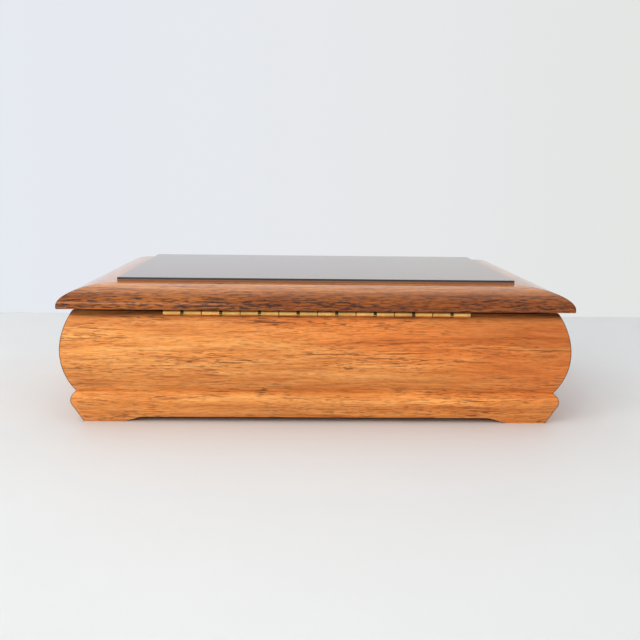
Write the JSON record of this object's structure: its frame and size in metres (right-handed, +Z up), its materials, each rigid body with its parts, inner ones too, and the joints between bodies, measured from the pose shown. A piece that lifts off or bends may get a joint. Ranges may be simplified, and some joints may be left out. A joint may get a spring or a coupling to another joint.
{
  "type": "cylinder music box",
  "caption": "Bombe-sided wooden box on bracket feet with a panelled lid on a piano hinge, lined compartments and a pinned-cylinder movement under glass.",
  "frame": {"origin": "middle of the case, on the surface that it stands on", "axes": "+X to the right seen from the front, +Y to the hinge side, +Z up"},
  "size_m": [0.34, 0.23, 0.0961],
  "materials": {
    "body_wood": "orange-brown open-pored hardwood, satin lacquer",
    "lid_wood": "reddish-brown open-pored hardwood, gloss lacquer",
    "inner_wood": "thin hardwood strip, satin lacquer",
    "plain_wood": "unfinished plywood and softwood",
    "velvet": "dark red velvet over card",
    "felt": "pressed felt",
    "clear_glass": "clear float glass, ground edges",
    "brass": "polished",
    "steel": "fine ground",
    "blued_steel": "heat blued",
    "lead": "dull"
  },
  "bodies": {
    "case": {"front_board": "body_wood", "rear_board": "body_wood", "left_board": "body_wood", "right_board": "body_wood", "bottom_board": "plain_wood", "corner_blocks": "plain_wood", "long_divider": "inner_wood", "short_divider": "inner_wood", "glass_ledges": "inner_wood", "glass_pane": "clear_glass", "glazing_beads": "inner_wood", "front_bay_lining": "velvet", "rear_bay_lining": "velvet", "hinge_lower_leaf": "brass", "hinge_lower_screws": "brass", "hinge_pin": "brass", "bedplate": "brass", "bedplate_spacers": "brass", "movement_screws": "steel", "comb_base": "brass", "comb": "steel", "comb_weights": "lead", "comb_screws": "blued_steel", "cylinder_brackets": "brass", "barrel_bridge": "brass", "bridge_pillars": "brass", "bridge_screws": "blued_steel", "governor_frame": "brass", "plate_screws": "blued_steel", "click_spring": "steel", "key_bush": "brass", "stop_spring": "steel"},
    "lid": {"lid_front_rail": "lid_wood", "lid_rear_rail": "lid_wood", "lid_left_rail": "lid_wood", "lid_right_rail": "lid_wood", "lid_core": "plain_wood", "lid_panel": "lid_wood", "lid_lining": "velvet", "hinge_upper_leaf": "brass", "hinge_upper_screws": "brass"},
    "cylinder": {"cylinder_drum": "brass", "drum_caps": "brass", "cylinder_arbor": "steel", "cylinder_gear": "brass"},
    "barrel": {"spring_barrel": "brass", "crown_wheel": "brass", "mainspring": "blued_steel"},
    "transfer": {"transfer_arbor": "steel", "worm_wheel": "brass"},
    "governor": {"worm_arbor": "steel", "fan": "brass"},
    "winding": {"winding_arbor": "steel", "ratchet_wheel": "steel", "winding_key": "brass"},
    "click_body": {"click": "steel"},
    "stop": {"stop_rod": "brass", "stop_pad": "felt"}
  },
  "joints": [
    {"name": "lid_hinge", "type": "hinge", "parent": "case", "child": "lid", "pos_m": [0, 0.109, 0.0768], "axis": [-1, 0, 0], "range_deg": [0, 98]},
    {"name": "cylinder_spin", "type": "hinge", "parent": "case", "child": "cylinder", "pos_m": [-0.07, 0.055, 0.04], "axis": [-1, 0, 0], "continuous": true},
    {"name": "barrel_spin", "type": "hinge", "parent": "case", "child": "barrel", "pos_m": [-0.1183, 0.055, 0.03], "axis": [0, 0, 1], "continuous": true},
    {"name": "transfer_spin", "type": "hinge", "parent": "case", "child": "transfer", "pos_m": [-0.04, 0.065, 0.04504], "axis": [-1, 0, 0], "continuous": true},
    {"name": "fan_spin", "type": "hinge", "parent": "case", "child": "governor", "pos_m": [-0.0355, 0.0738, 0.04], "axis": [0, 0, 1], "continuous": true},
    {"name": "winding_spin", "type": "hinge", "parent": "case", "child": "winding", "pos_m": [-0.1183, 0.055, 0.02], "axis": [0, 0, 1], "continuous": true},
    {"name": "click_lift", "type": "hinge", "parent": "case", "child": "click_body", "pos_m": [-0.1208, 0.0682, 0.0414], "axis": [0, 0, 1], "range_deg": [0, 6], "stiffness_Nm_per_rad": 0.001},
    {"name": "stop_lift", "type": "slide", "parent": "case", "child": "stop", "axis": [0, 0, 1], "range_m": [0, 0.004]}
  ],
  "couplings": [
    {"joint": "barrel_spin", "follows": "cylinder_spin", "ratio": -0.17857},
    {"joint": "transfer_spin", "follows": "cylinder_spin", "ratio": -6},
    {"joint": "fan_spin", "follows": "cylinder_spin", "ratio": -216},
    {"joint": "stop_lift", "follows": "lid_hinge", "m_per_rad": 0.0023}
  ]
}
